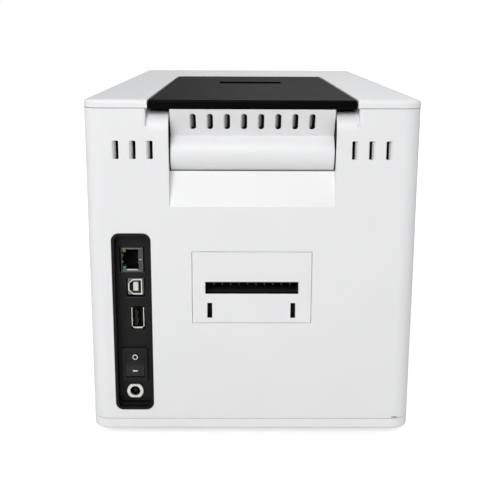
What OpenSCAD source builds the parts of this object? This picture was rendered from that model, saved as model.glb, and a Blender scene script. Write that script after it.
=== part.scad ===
// Desktop identity card printer, seen from its connector side in the reference view.
// Row axes: +Z up, the operator stands at -Y, the connector side faces +Y,
// the origin is on the floor under the middle of the housing. Millimetres.

/* [Housing] */
// Width across the housing
body_w = 208; // [200:1:216]
// Depth from the operator's side to the connector side
body_d = 408; // [400:1:416]
// Height of the rubber feet under the base tray
foot_h = 5; // [4:0.5:7]
// Height of the base tray's visible edge
tray_h = 6.75; // [6:0.25:8]
// Height of the main casing between the base tray and the top cover
casing_h = 202.55; // [202:0.05:203]
// Height of the top cover's visible edge
cover_h = 5.3; // [5:0.1:6]
// Radius of the housing's upright corners
corner_r = 11; // [9:0.5:13]
// Thickness of the moulded housing walls
wall = 2.5; // [2:0.25:3]

/* [Lid] */
// Width of the lid plate
lid_w = 127; // [126:0.25:127.5]
// Distance of the lid's front edge from the middle of the housing
lid_reach = 75; // [74:0.5:76]
// Width of the moulded skirt and hinge barrel under the lid's rear edge
skirt_w = 101.4; // [100:0.1:101.6]
// Radius of the hinge barrel
barrel_r = 12.5; // [12:0.1:12.6]
// Distance of the hinge axis in front of the rear face
hinge_inset = 15; // [14.5:0.5:15.5]
// Height of the hinge axis above the floor
hinge_z = 186; // [185.5:0.5:186.5]
// Number of slanted air slots in the skirt
skirt_slots = 8; // [4:1:8]

/* [Card path] */
// Height of the middle of a card in the straight card path
path_z = 101.3; // [101:0.1:101.6]
// Radius of the rubber rollers under the card path
roller_r = 8; // [7.8:0.05:8]
// Width of a card
card_w = 54; // [53.5:0.1:54.2]
// Radius of the roller shafts
shaft_r = 3; // [2.8:0.05:3]

/* [Gear train] */
// Module of the spur gears
gear_module = 1; // [1]
// Teeth on each shaft gear and idler
gear_teeth = 32; // [32]
// Teeth on the motor pinion
pinion_teeth = 16; // [16]
// Face width of the gears
gear_w = 5; // [4:0.5:6]

/* [Connector recess] */
// Width of the black connector recess
io_w = 25; // [24:0.5:26]
// Height of the black connector recess
io_h = 118.7; // [117:0.1:120]
// Depth of the connector recess
io_depth = 8; // [6:0.5:9]

/* [Rear card slot] */
// Width of the rear card slot
slot_w = 59.3; // [57:0.1:60]
// Height of the rear card slot
slot_h = 7.8; // [6:0.1:9]
// Number of ribs across the slot's throat
slot_ribs = 10; // [6:1:12]

/* [Hidden] */
$fn = 64;

// Heights that follow from the driving ones
tray_top = foot_h + tray_h;
casing_top = tray_top + casing_h;
top_z = casing_top + cover_h;
rear_y = body_d / 2;
front_y = -body_d / 2;
hinge_y = rear_y - hinge_inset;
seam = 0.35;
seam_d = 0.9;
slack = 0.05;

// Joint between the rear casing and the front fascia
split_y = -150;

// Lid
lid_t = 5.7;
lid_z = top_z - lid_t;
lid_gap = 0.7;
lid_front_y = -lid_reach;
lid_frame_h = 8;
recess_w = 49;
recess_y = 8;
recess_len = 26;
recess_t = 4.6;
lid_frame_z = lid_z - lid_frame_h;
pin_r = 4;
shoulder_r = 12;
shoulder_top = lid_z - 1.4;
shoulder_in = skirt_w / 2 + 0.8;
shoulder_out = 65.1;
cheek_t = 2;
pocket_z = 153.5;
cradle_r = barrel_r + 0.8;
crease_a = 60.9;
crease_y = hinge_y + barrel_r * cos(crease_a);
crease_z = hinge_z + barrel_r * sin(crease_a);
panel_a = atan2(lid_z - crease_z, rear_y - crease_y);
panel_len = norm([lid_z - crease_z, rear_y - crease_y]);
panel_t = 3.4;

// Chassis
plate_in = 60;
plate_t = 2;
plate_out = plate_in + plate_t;
plate_z = 10;
flange_w = 12;
bush_r = 5;

// Card path: rollers stand one gear pair apart, with an idler between each two
shaft_z = path_z - 0.5 - roller_r;
pitch_r = gear_module * gear_teeth / 2;
pitch_step = 2 * pitch_r;
first_y = -124;
function station(k) = first_y + k * pitch_step;
pick_y = station(0);
front_feed_y = station(2);
platen_y = station(4);
rear_feed_y = station(6);
exit_y = station(8);
gear_x = -(plate_out + 4 + gear_w / 2);
pinion_y = station(5);
pinion_z = shaft_z - (pitch_r + gear_module * pinion_teeth / 2);
pinch_r = 5;
pinch_z = path_z + 0.5 + pinch_r;
pinch_shaft_r = 2;

// Ribbon
supply_y = 54;
take_up_y = -46;
spool_z = 142;
supply_r = 20;
take_up_r = 12;
journal_r = 6;
arm_in = 33;
arm_t = 3;
bar_r = 2.5;
bar_z = 108;
rear_bar_y = 24;
print_y = platen_y;
head_z = path_z + 1.2;
front_bar_y = -16;

// Hopper and output bin, on the operator's side
hopper_in = 28;
hopper_t = 2;
hopper_back = -106;
hopper_front = -199;
hopper_floor = path_z - 0.6;
hopper_top = 196;
weight_z = hopper_floor + 2;
tongue_z = hopper_floor + 7;
bin_floor = 32;
bin_top = 82;
door_w = 76;
door_z0 = 97;
door_z1 = 191;
bin_win_h = 52;

// Connector side
io_x = 76.2;
io_z = 77.35;
io_r = 5;
io_floor = rear_y - io_depth;
io_skin = 1.5;
board_x = 68.1;
board_t = 1.6;
slot_z = path_z;
insert_w = 75.6;
insert_z0 = 78.1;
insert_z1 = 124.7;

// Power switch: axis of the rocker and its tilt at rest
rocker_y = rear_y - 11;
rocker_z = 46.95;
rocker_rest = 7;

WHITE = [0.90, 0.90, 0.91];
WARM = [0.85, 0.85, 0.83];
BLACK = [0.05, 0.05, 0.055];
DARK = [0.13, 0.13, 0.14];
STEEL = [0.66, 0.67, 0.69];
ALU = [0.75, 0.76, 0.78];
RUBBER = [0.08, 0.08, 0.08];
GREEN = [0.06, 0.30, 0.16];
IVORY = [0.86, 0.84, 0.76];
BRONZE = [0.66, 0.50, 0.28];

// ---- shapes used by several pieces ----

// Rectangle with round corners, centred
module rounded_rect(w, d, r) {
  square([w - 2 * r, d], center = true);
  square([w, d - 2 * r], center = true);
  for (sx = [-1, 1], sy = [-1, 1])
    translate([sx * (w / 2 - r), sy * (d / 2 - r)])
      circle(r = r);
}

// Extrudes a drawing of (Y, Z) along X, centred on x
module along_x(length, x = 0) {
  translate([x, 0, 0])
    rotate([90, 0, 90])
      linear_extrude(height = length, center = true)
        children();
}

// Extrudes a drawing of (X, Z) along Y, from y0 to y1
module along_y(y0, y1) {
  translate([0, y1, 0])
    rotate([90, 0, 0])
      linear_extrude(height = y1 - y0)
        children();
}

// Cylinder whose axis lies along X through (y, z)
module x_rod(r, length, y, z, x = 0) {
  translate([x, y, z])
    rotate([0, 90, 0])
      cylinder(r = r, h = length, center = true);
}

// Box between two corners
module block(low, high) {
  translate(low)
    cube(high - low);
}

// Both sides of the middle plane x = 0
module both_sides() {
  children();
  mirror([1, 0, 0])
    children();
}

// Half width of a slab with a rounded upper edge, as a drawing of (across, up)
module edge_profile(half, h, e) {
  square([half, h - e]);
  square([half - e, h]);
  translate([half - e, h - e])
    circle(r = e);
}

// Slab with round upright corners and a rounded upper edge, standing on z = 0
module soft_slab(w, d, h, r, e) {
  for (turn = [0, 1])
    rotate([90, 0, 90 * turn])
      linear_extrude(height = (turn == 0 ? d : w) - 2 * r, center = true)
        both_halves()
          edge_profile((turn == 0 ? w : d) / 2, h, e);
  for (sx = [-1, 1], sy = [-1, 1])
    translate([sx * (w / 2 - r), sy * (d / 2 - r), 0])
      rotate_extrude()
        edge_profile(r, h, e);
}

// A drawing and its mirror image about its own upright axis
module both_halves() {
  children();
  mirror([1, 0])
    children();
}

// Outline of the housing, drawn inwards by inset
module housing_plan(inset = 0) {
  rounded_rect(body_w - 2 * inset, body_d - 2 * inset, corner_r - inset);
}

// Upright wall that follows the housing's outline between two insets
module housing_wall(z0, z1, outer, inner) {
  translate([0, 0, z0])
    linear_extrude(height = z1 - z0)
      difference() {
        housing_plan(outer);
        housing_plan(inner);
      }
}

// ---- housing ----

module rubber_feet() {
  color(RUBBER)
    for (sx = [-1, 1], sy = [-1, 1])
      translate([sx * 78, sy * 172, 0])
        rotate_extrude()
          polygon([[0, 0], [7.2, 0], [8, 0.8], [8, foot_h], [5, foot_h], [5, foot_h + 1], [0, foot_h + 1]]);
}

module base_tray() {
  color(WARM)
    difference() {
      union() {
        translate([0, 0, tray_top])
          mirror([0, 0, 1])
            soft_slab(body_w, body_d, tray_h, corner_r, 1.2);
        housing_wall(tray_top - 1, tray_top + 3, wall + 0.2, wall + 1.9);
      }
      // hollow above the floor plate
      translate([0, 0, foot_h + wall])
        linear_extrude(height = tray_h + 10)
          housing_plan(wall + 1.9);
      // seats of the feet
      for (sx = [-1, 1], sy = [-1, 1])
        translate([sx * 78, sy * 172, foot_h - 1])
          cylinder(r = 5.2, h = 2.2);
      // screw holes with countersinks under the chassis flanges
      for (sx = [-1, 1], y = [-80, 120])
        translate([sx * 68, y, foot_h - 1]) {
          cylinder(r = 1.7, h = 10);
          cylinder(r = 3.4, h = 2);
        }
    }
}

// The rear wall beside the lid: flat, then rounded over under the lid's overhang
module shoulder_outline(inset = 0) {
  y0 = hinge_y - 13;
  z0 = pocket_z - 3;
  round_y = rear_y - shoulder_r;
  round_z = shoulder_top - shoulder_r;
  translate([y0, z0])
    square([rear_y - inset - y0, round_z - z0]);
  translate([y0, z0])
    square([round_y - y0, shoulder_top - inset - z0]);
  translate([round_y, round_z])
    circle(r = shoulder_r - inset);
}

// Hinge cheek: carries a pin and closes the pocket beside the skirt
module cheek(x) {
  along_x(cheek_t, x + cheek_t / 2)
    shoulder_outline(0);
}

// Scoop behind and cradle under the hinge barrel
module pocket_floor() {
  along_x(2 * shoulder_in + 2) {
    polygon([
      [rear_y, pocket_z],
      [hinge_y + cradle_r * cos(-54.8), hinge_z + cradle_r * sin(-54.8)],
      [hinge_y + cradle_r * cos(-62), hinge_z + cradle_r * sin(-62)],
      [hinge_y + (cradle_r + 2) * cos(-66), hinge_z + (cradle_r + 2) * sin(-66)],
      [rear_y - wall, pocket_z - 1],
      [rear_y, pocket_z - 1]
    ]);
    difference() {
      intersection() {
        translate([hinge_y, hinge_z])
          circle(r = cradle_r + 2);
        translate([hinge_y - 13, hinge_z - 20])
          square([13 + (cradle_r + 2) * cos(-66), 20]);
      }
      translate([hinge_y, hinge_z])
        circle(r = cradle_r);
      translate([hinge_y, hinge_z])
        polygon([[0, 0], [30, 0], [30, -45], [cradle_r * cos(-60), cradle_r * sin(-60)]]);
    }
  }
}

// Upright air slot whose outer side is a ramp, in the plane of the rear wall
module louvre_cut(x) {
  intersection() {
    translate([0, 0, 180])
      linear_extrude(height = 20)
        polygon([[x + 2, rear_y + 1], [x + 2, rear_y], [x + 0.9, rear_y - 1.2], [x - 0.1, rear_y - 4.5],
                 [x - 0.1, rear_y - 7], [x - 2, rear_y - 7], [x - 2, rear_y + 1]]);
    along_y(rear_y - 8, rear_y + 2)
      translate([x, 189.05])
        rounded_rect(4.02, 11.3, 0.7);
  }
}

module body_shell() {
  color(WHITE)
    difference() {
      union() {
        difference() {
          housing_wall(tray_top, casing_top, 0, wall);
          block([-body_w, front_y - 1, 0], [body_w, split_y, 300]);
          block([-shoulder_out, rear_y - 20, pocket_z - 1], [shoulder_out, rear_y + 1, 300]);
        }
        both_sides() {
          along_x(shoulder_out - shoulder_in, (shoulder_out + shoulder_in) / 2)
            difference() {
              shoulder_outline(0);
              shoulder_outline(wall);
              translate([hinge_y - 20, pocket_z - 4])
                square([hinge_inset + 20 - wall, hinge_z - pocket_z + 4]);
            }
          cheek(shoulder_in);
          // step beside the shoulder, up to the top cover
          block([shoulder_out, hinge_y - 13, 196], [shoulder_out + 2, rear_y - 1, casing_top]);
          // thick pad behind the air slots
          block([57, rear_y - 6, 180], [90, rear_y - 1, 198]);
        }
        pocket_floor();
      }
      // rounded edge of the step
      both_sides()
        translate([shoulder_out, rear_y, 203.5])
          linear_extrude(height = 20)
            difference() {
              translate([-1, -1.5])
                square([2.5, 2.5]);
              translate([1.5, -1.5])
                circle(r = 1.5);
            }
      both_sides()
        for (x = [63.2, 73.7, 84.2])
          louvre_cut(x);
      both_sides()
        x_rod(pin_r + 0.1, 6, hinge_y, hinge_z, shoulder_in + 1);
      // opening for the card-slot insert
      translate([-insert_w / 2 - 0.25, rear_y - 9, insert_z0 - 0.25])
        cube([insert_w + 0.5, 10, insert_z1 - insert_z0 + 0.5]);
      // opening for the connector recess
      along_y(rear_y - 9, rear_y + 1)
        translate([io_x, io_z])
          rounded_rect(io_w, io_h, io_r);
      // shadow line above the base tray and the joint line under the top cover
      housing_wall(tray_top - 1, tray_top + seam, -1, seam_d);
      // small notch in one corner of the joint line
      block([-96, rear_y - 3, tray_top - 1], [-92.5, rear_y + 1, tray_top + 1.6]);
    }
}

module top_cover() {
  y0 = lid_front_y - lid_gap;
  x0 = lid_w / 2 + lid_gap;
  color(WHITE)
    difference() {
      union() {
        difference() {
          translate([0, 0, casing_top])
            soft_slab(body_w, body_d, cover_h, corner_r, 2.2);
          // hollow under the cover's skin
          translate([0, 0, casing_top - 1])
            linear_extrude(height = cover_h + 1 - wall)
              housing_plan(wall);
        }
        // walls of the lid well, ending before the hinge shoulders
        block([-x0 - 2, y0 - 2, 200], [x0 + 2, hinge_y - 14, top_z - wall]);
        // lip that seats inside the casing
        housing_wall(casing_top - 5, casing_top + 1, wall + 0.2, wall + 1.8);
      }
      block([-x0, y0, 190], [x0, rear_y + 5, top_z + 1]);
      // clearance of the lip around the rear shoulders and the hopper
      block([-shoulder_out - 3, hinge_y - 14.2, 190], [shoulder_out + 3, rear_y + 5, casing_top]);
      block([-40, front_y - 1, 190], [40, front_y + 12, casing_top]);
      // shadow line above the casing
      housing_wall(casing_top - 0.01, casing_top + seam, -1, seam_d);
    }
}

module front_fascia() {
  color(WHITE)
    difference() {
      union() {
        difference() {
          housing_wall(tray_top, casing_top, 0, wall);
          block([-body_w, split_y - 0.3, 0], [body_w, rear_y + 1, 300]);
        }
        // tongue that seats in the rear casing
        both_sides()
          translate([body_w / 2 - wall - 1.7, split_y - 6, tray_top + 6])
            cube([1.5, 11, casing_h - 12]);
        both_sides()
          translate([body_w / 2 - wall - 1.7, split_y - 6, tray_top + 6])
            cube([2.2, 5, casing_h - 12]);
      }
      // hopper door opening and output bin opening
      translate([-door_w / 2 - 0.5, front_y - 1, door_z0 - 1.5])
        cube([door_w + 1, 13, door_z1 - door_z0 + 2]);
      along_y(front_y - 1, front_y + 12)
        translate([0, bin_floor + bin_win_h / 2])
          rounded_rect(2 * hopper_in + 3, bin_win_h, 3);
      // display opening
      along_y(front_y - 1, front_y + 12)
        translate([71, 164])
          rounded_rect(36.6, 26.6, 2);
      // button holes
      for (x = [62, 80])
        translate([x, front_y + 12, 136])
          rotate([90, 0, 0])
            cylinder(r = 5.3, h = 14);
      housing_wall(tray_top - 1, tray_top + seam, -1, seam_d);
    }
}

// Block round the rear card slot, larger than it on all four sides
module slot_block(margin, y0, y1) {
  half_w = slot_w / 2 + margin;
  half_h = slot_h / 2 + margin;
  block([-half_w, y0, slot_z - half_h], [half_w, y1, slot_z + half_h]);
}

module slot_plate() {
  color(WHITE)
    difference() {
      union() {
        block([-insert_w / 2, rear_y - wall, insert_z0], [insert_w / 2, rear_y, insert_z1]);
        // flange behind the casing wall
        translate([-insert_w / 2 - 3, rear_y - wall - 1.6, insert_z0 - 3])
          cube([insert_w + 6, 1.6, insert_z1 - insert_z0 + 6]);
      }
      slot_block(0, rear_y - 9, rear_y + 1);
      for (x = [26.85, -26.3])
        block([x - 1.55, rear_y - 9, 81.4], [x + 1.55, rear_y + 1, 91.3]);
    }
}

// Black throat behind the rear slot, with ribs that steer a card
module slot_guide() {
  y1 = rear_y - wall - 1.6;
  y0 = y1 - 22;
  color(DARK)
    difference() {
      union() {
        slot_block(2, y0, y1);
        slot_block(6, y1 - 2, y1);
      }
      difference() {
        slot_block(0, y0 - 1, y1 + 1);
        for (k = [0:slot_ribs - 1])
          translate([(k - (slot_ribs - 1) / 2) * slot_w / (slot_ribs + 1), 0, 0])
            along_x(1)
              polygon([[y1 - 2, slot_z + slot_h / 2 + 0.5], [y1 - 6, slot_z + 1.4],
                       [y0, slot_z + 1.4], [y0, slot_z + slot_h / 2 + 0.5]]);
      }
    }
}

// ---- connector side ----

// Black recess set into the casing, with a window for each socket
module io_panel() {
  color(BLACK)
    difference() {
      union() {
        along_y(io_floor - io_skin, rear_y - 0.2)
          translate([io_x, io_z])
            rounded_rect(io_w - 0.3, io_h - 0.3, io_r - 0.15);
        // flange behind the casing wall
        along_y(rear_y - wall - 1.5, rear_y - wall)
          translate([io_x, io_z])
            rounded_rect(io_w + 5, io_h + 5, io_r + 2);
      }
      // recess, with a ledge at its lower end
      along_y(io_floor + 4, rear_y + 1)
        translate([io_x, io_z])
          rounded_rect(io_w - 3.6, io_h - 3.6, io_r - 1.8);
      along_y(io_floor, io_floor + 5)
        translate([io_x, io_z + 0.8])
          rounded_rect(io_w - 3.6, io_h - 5.2, io_r - 1.8);
      io_cut(68.6, 84.7, 109.7, 125.9);
      io_cut(68.7, 80.7, 92.8, 105.5);
      io_cut(69.1, 78.5, 71.1, 86.5);
      io_cut(69.4, 83.1, 37.2, 57);
      translate([76.6, rear_y, 28.6])
        rotate([90, 0, 0])
          cylinder(r = 4.6, h = 20);
    }
}

// Window in the recess floor in front of a socket
module io_cut(x0, x1, z0, z1) {
  block([x0, io_floor - 4, z0], [x1, io_floor + 1, z1]);
}

// Network socket, turned so that its latch side faces outwards
module rj45_jack() {
  y1 = io_floor + 0.5;
  color(STEEL)
    difference() {
      block([board_x + board_t, y1 - 21, 110], [83.6, y1, 125.4]);
      block([72.3, y1 - 13, 110.7], [82.8, y1 + 1, 124.7]);
    }
}

// Outline of the square socket's metal collar, with two chamfered corners
module usb_b_collar(inset) {
  polygon([[70.5 + inset, 94.6 + inset], [76.4, 94.6 + inset], [79.5 - inset, 97.6],
           [79.5 - inset, 101.9], [76.4, 104.9 - inset], [70.5 + inset, 104.9 - inset]]);
}

// Square socket: dark body, collar in front of it and a tongue inside
module usb_b_socket() {
  y1 = io_floor + 0.5;
  color(STEEL) {
    difference() {
      union() {
        block([board_x + board_t, y1 - 16, 94.3], [79.8, y1 - 1, 105.2]);
        along_y(y1 - 2, y1)
          usb_b_collar(0);
      }
      along_y(y1 - 10, y1 + 1)
        usb_b_collar(0.75);
    }
    block([73.2, y1 - 11, 97], [76.2, y1 - 1, 102.5]);
  }
}

// Upright socket: broad lips on both long sides, a narrow one at each end
module usb_a_socket() {
  y1 = io_floor + 0.6;
  color(STEEL) {
    difference() {
      block([board_x + board_t, y1 - 15, 71.8], [77.8, y1, 85.8]);
      block([70.8, y1 - 12, 72.7], [76.7, y1 + 1, 85.5]);
      // bevelled lower corners of the lips
      for (sx = [-1, 1])
        translate([board_x + board_t + 4.05 + sx * 4.05, y1 + 1, 71.8])
          rotate([90, 0, 0])
            rotate(45)
              square(2.4, center = true);
    }
    block([74, y1 - 13, 73.6], [75.6, y1 - 1, 84]);
  }
}

// Frame and body of the mains switch
module switch_bezel() {
  color(BLACK)
    difference() {
      union() {
        along_y(io_floor, io_floor + 2)
          translate([76.2, 47.1])
            rounded_rect(15.9, 22.8, 1.2);
        block([69.6, io_floor - 17, 37.4], [82.9, io_floor + 0.5, 56.8]);
      }
      block([70, io_floor - 12, rocker_z - 8.7], [82.3, io_floor + 3, rocker_z + 8.7]);
    }
}

module power_rocker() {
  color(BLACK)
    translate([0, rocker_y, rocker_z])
      rotate([rocker_rest, 0, 0])
        along_x(11.9, 76.15)
          union() {
            polygon([[-2, -6.5], [2.6, -8.1], [5.4, -8.1], [4.6, -1],
                     [4.6, 1], [5.4, 8.1], [2.6, 8.1], [-2, 6.5]]);
            circle(r = 4);
          }
}

// Round supply socket: metal sleeve in a block, with its centre pin
module dc_jack() {
  color(STEEL)
    translate([76.6, io_floor, 28.6])
      rotate([90, 0, 0]) {
        difference() {
          union() {
            // collar with flattened top and bottom
            intersection() {
              translate([0, 0, -1.6])
                cylinder(r = 5.3, h = 1.6);
              block([-6, -4.5, -2], [6, 4.5, 1]);
            }
            translate([0, 0, -0.1])
              cylinder(r = 4.5, h = 12);
          }
          translate([0, 0, -3])
            cylinder(r = 3.35, h = 12.4);
        }
        translate([0, 0, 0.4])
          cylinder(r = 1, h = 10);
      }
}

// Circuit board upright beside the chassis, with its larger parts
module main_board() {
  color(GREEN) {
    block([board_x, 60, 62], [board_x + board_t, io_floor - io_skin - 0.4, 134]);
    // processor, memory, capacitors and cable headers
    block([board_x + board_t, 112, 92], [board_x + board_t + 1.4, 132, 112]);
    block([board_x + board_t, 84, 96], [board_x + board_t + 1.2, 94, 110]);
    for (z = [70, 80])
      translate([board_x + board_t, 150, z])
        rotate([0, 90, 0])
          cylinder(r = 4, h = 10, $fn = 32);
    for (y = [66, 90, 114])
      block([board_x + board_t, y, 64], [board_x + board_t + 6, y + 16, 70]);
  }
}

// ---- chassis ----

// Outline of a side plate, as a drawing of (Y, Z)
module side_plate_outline() {
  difference() {
    union() {
      translate([-104, plate_z])
        square([276, 150]);
      polygon([[60, 150], [172, 150], [hinge_y + 8.5, hinge_z - 30], [hinge_y + 8.5, hinge_z],
               [hinge_y - 14, hinge_z + 12], [120, 170]]);
      translate([hinge_y, hinge_z])
        circle(r = 8.5);
      translate([-104, 150])
        square([28, 44]);
    }
    translate([hinge_y, hinge_z])
      circle(r = pin_r + 0.05);
    for (k = [0:8])
      translate([station(k), shaft_z])
        circle(r = bush_r);
    for (y = [front_feed_y, rear_feed_y, exit_y])
      translate([y, pinch_z])
        circle(r = pinch_shaft_r + slack);
    translate([pinion_y, pinion_z])
      circle(r = 11.1);
    // lightening windows
    for (y = [-90, -44, 62, 108])
      translate([y, 26])
        square([34, 30]);
    // pivot of the card diverter
    translate([-102, path_z - 3.6])
      circle(r = 1.6);
  }
}

module side_plate() {
  along_x(plate_t, plate_in + plate_t / 2)
    side_plate_outline();
  // bent foot flange, screwed to the base tray
  difference() {
    block([plate_in, -100, plate_z], [plate_out + flange_w, 168, plate_z + plate_t]);
    for (y = [-80, 120])
      translate([68, y, plate_z - 1])
        cylinder(r = 1.55, h = 6);
  }
}

module left_side_plate() {
  color(STEEL) {
    side_plate();
    // stand-offs that carry the circuit board
    for (y = [70, 180], z = [76, 128])
      x_rod(3, board_x - plate_out, y - 3, z, (board_x + plate_out) / 2);
  }
}

module right_side_plate() {
  color(STEEL)
    mirror([1, 0, 0])
      side_plate();
}

// Folded channels between the side plates
module cross_rails() {
  color(STEEL)
    for (p = [[-98, 66], [90, 66], [158, 66], [-98, 182]])
      along_x(2 * plate_in)
        translate(p)
          difference() {
            square([16, 10]);
            translate([1.5, 1.5])
              square([13, 10]);
          }
}

module shaft_bushes() {
  color(BRONZE)
    both_sides()
      for (k = [0:2:8])
        difference() {
          union() {
            x_rod(bush_r, plate_t, station(k), shaft_z, plate_in + plate_t / 2);
            x_rod(bush_r + 1.5, 1.2, station(k), shaft_z, plate_in - 0.6);
          }
          x_rod(shaft_r + slack, 10, station(k), shaft_z, plate_in);
        }
}

// Floor of the card path, with windows for the rollers and side fences
module card_guides() {
  color(DARK)
    difference() {
      union() {
        block([-plate_in + 1.4, -74, path_z - 3.8], [plate_in - 1.4, 177.6, path_z - 0.8]);
        both_sides()
          for (y = [-48, 16, 80])
            block([card_w / 2 + 0.3, y, path_z - 1], [card_w / 2 + 2.3, y + 40, path_z + 1.6]);
        // chute that turns a returning card down to the output bin
        along_x(2 * plate_in - 4)
          polygon([[-74, path_z - 3.8], [-74, path_z - 0.8],
                   [hopper_back + 0.2, bin_top], [hopper_back + 0.2, bin_top - 2]]);
      }
      for (k = [2:2:8])
        block([-card_w / 2 - 3, station(k) - 8.4, path_z - 5], [card_w / 2 + 3, station(k) + 8.4, path_z + 4]);
      for (k = [0, 2])
        x_rod(bush_r + 2, 2 * plate_in + 2, station(k), shaft_z);
    }
}

// Flap that lifts to send a returning card down the chute
module diverter_flap() {
  z = path_z - 3.6;
  color(BLACK) {
    along_x(2 * card_w / 2 - 4)
      polygon([[-103, z - 1.2], [-103, z + 1.8], [-101, z + 2.6],
               [-78, z + 2.8], [-78, z + 2], [-98, z - 1.2]]);
    x_rod(1.5, 2 * plate_out, -102, z);
  }
}

module hinge_pins() {
  color(STEEL)
    both_sides() {
      x_rod(pin_r, plate_out - 44, hinge_y, hinge_z, (plate_out + 44) / 2);
      x_rod(pin_r + 2, 1.6, hinge_y, hinge_z, plate_out + 0.8);
    }
}

module case_screws() {
  color(STEEL)
    for (sx = [-1, 1], y = [-80, 120])
      translate([sx * 68, y, foot_h + 0.2]) {
        cylinder(r = 3.2, h = 0.8);
        cylinder(r = 1.5, h = 8);
      }
}

// ---- rollers and gears ----

// Steel shaft in two bushes with a rubber sleeve over the card path
module driven_roller(y, sleeve) {
  left_end = plate_out + 2;
  right_end = gear_x - gear_w / 2 - 1;
  translate([(left_end + right_end) / 2, 0, 0])
    x_rod(shaft_r, left_end - right_end, y, shaft_z);
  difference() {
    x_rod(roller_r, sleeve, y, shaft_z);
    x_rod(shaft_r, sleeve + 2, y, shaft_z);
  }
}

module pick_roller() {
  color(RUBBER) driven_roller(pick_y, 30);
}

module front_feed_roller() {
  color(RUBBER) driven_roller(front_feed_y, 48);
}

module platen_roller() {
  color(RUBBER) driven_roller(platen_y, 57);
}

module rear_feed_roller() {
  color(RUBBER) driven_roller(rear_feed_y, 48);
}

module exit_roller() {
  color(RUBBER) driven_roller(exit_y, 48);
}

// Spur gear outline: flanks drawn through root, pitch and tip circles
function tooth(teeth, k) =
  let (p = 360 / teeth, r = gear_module * teeth / 2, a = k * p)
  [for (s = [[-0.37, -1.25], [-0.235, 0], [-0.11, 0.95], [0.11, 0.95], [0.235, 0], [0.37, -1.25]])
    (r + gear_module * s[1]) * [cos(a + s[0] * p), sin(a + s[0] * p)]];

module gear(teeth, y, z, bore, half_step = 0) {
  translate([gear_x, y, z])
    rotate([90, 0, 90])
      linear_extrude(height = gear_w, center = true)
        difference() {
          rotate(half_step * 180 / teeth)
            polygon([for (k = [0:teeth - 1]) for (p = tooth(teeth, k)) p]);
          circle(r = bore);
          if (teeth > 20)
            for (a = [0:60:300])
              rotate(a)
                translate([9.2, 0])
                  circle(r = 3);
        }
}

module shaft_gear(k) {
  color(IVORY) {
    gear(gear_teeth, station(k), shaft_z, shaft_r);
    // hub towards the side plate
    difference() {
      x_rod(5.2, 2.4, station(k), shaft_z, gear_x + gear_w / 2 + 1.2);
      x_rod(shaft_r, 4, station(k), shaft_z, gear_x + gear_w / 2 + 1.2);
    }
  }
}

module pick_gear() {
  shaft_gear(0);
}

module front_feed_gear() {
  shaft_gear(2);
}

module platen_gear() {
  shaft_gear(4);
}

module rear_feed_gear() {
  shaft_gear(6);
}

module exit_gear() {
  shaft_gear(8);
}

// Idler with the stub axle that turns in its side-plate bush
module idler(k) {
  color(IVORY) {
    gear(gear_teeth, station(k), shaft_z, shaft_r, 1);
    x_rod(shaft_r, plate_out + 10 - plate_in + 3, station(k), shaft_z, -(plate_in + plate_out + 11) / 2 + 0.5);
    x_rod(bush_r - slack, plate_t, station(k), shaft_z, -(plate_in + plate_t / 2));
  }
}

module idler_gear_1() {
  idler(1);
}

module idler_gear_2() {
  idler(3);
}

module idler_gear_3() {
  idler(5);
}

module idler_gear_4() {
  idler(7);
}

module motor_pinion() {
  color(BRONZE) {
    gear(pinion_teeth, pinion_y, pinion_z, 2.5);
    x_rod(2.5, 30, pinion_y, pinion_z, -57);
  }
}

// Stepping motor: laminated body between two end caps, pilot ring and shaft bore
module drive_motor() {
  color(DARK)
    difference() {
      union() {
        along_x(26, -plate_in + 13)
          translate([pinion_y, pinion_z])
            difference() {
              square(35.2, center = true);
              for (a = [45:90:315])
                rotate(a)
                  translate([24.6, 0])
                    rotate(45)
                      square(5, center = true);
            }
        x_rod(11, 2, pinion_y, pinion_z, -plate_in - 1);
      }
      x_rod(2.55, 60, pinion_y, pinion_z, -plate_in - 6);
    }
}

// Free roller that presses the card down on a driven one
module pinch(y) {
  color(STEEL) {
    x_rod(pinch_shaft_r, 2 * plate_out, y, pinch_z);
    for (sx = [-1, 1])
      x_rod(pinch_r, 12, y, pinch_z, sx * 14);
  }
}

module front_pinch_roller() {
  pinch(front_feed_y);
}

module rear_pinch_roller() {
  pinch(rear_feed_y);
}

module exit_pinch_roller() {
  pinch(exit_y);
}

// ---- ribbon ----

module cassette_frame() {
  color(WHITE) {
    both_sides()
      along_x(arm_t, arm_in + arm_t / 2)
        difference() {
          union() {
            translate([supply_y, spool_z])
              circle(r = 14);
            translate([take_up_y, spool_z])
              circle(r = 14);
            polygon([[take_up_y - 13, spool_z], [take_up_y - 4, bar_z - 2], [front_bar_y - 6, bar_z - 4],
                     [rear_bar_y + 6, bar_z - 4], [supply_y + 4, bar_z - 2], [supply_y + 13, spool_z],
                     [supply_y - 13, spool_z], [rear_bar_y + 4, bar_z + 16], [front_bar_y - 4, bar_z + 16],
                     [take_up_y + 13, spool_z]]);
            translate([supply_y - 2, spool_z])
              square([12, 25]);
            translate([take_up_y - 10, spool_z])
              square([12, 25]);
          }
          translate([supply_y, spool_z])
            circle(r = journal_r + slack);
          translate([take_up_y, spool_z])
            circle(r = journal_r + slack);
        }
    // guide bars beside the print line, handle bars on top
    for (y = [front_bar_y, rear_bar_y])
      x_rod(bar_r, 2 * arm_in, y, bar_z);
    for (y = [supply_y - 2, take_up_y - 10])
      block([-arm_in, y, spool_z + 22], [arm_in, y + 12, spool_z + 25]);
    // feet on the floor of the card path
    both_sides()
      for (y = [front_bar_y - 6, rear_bar_y - 2])
        block([arm_in, y, path_z - 0.8], [arm_in + arm_t, y + 8, bar_z - 3]);
  }
}

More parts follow.
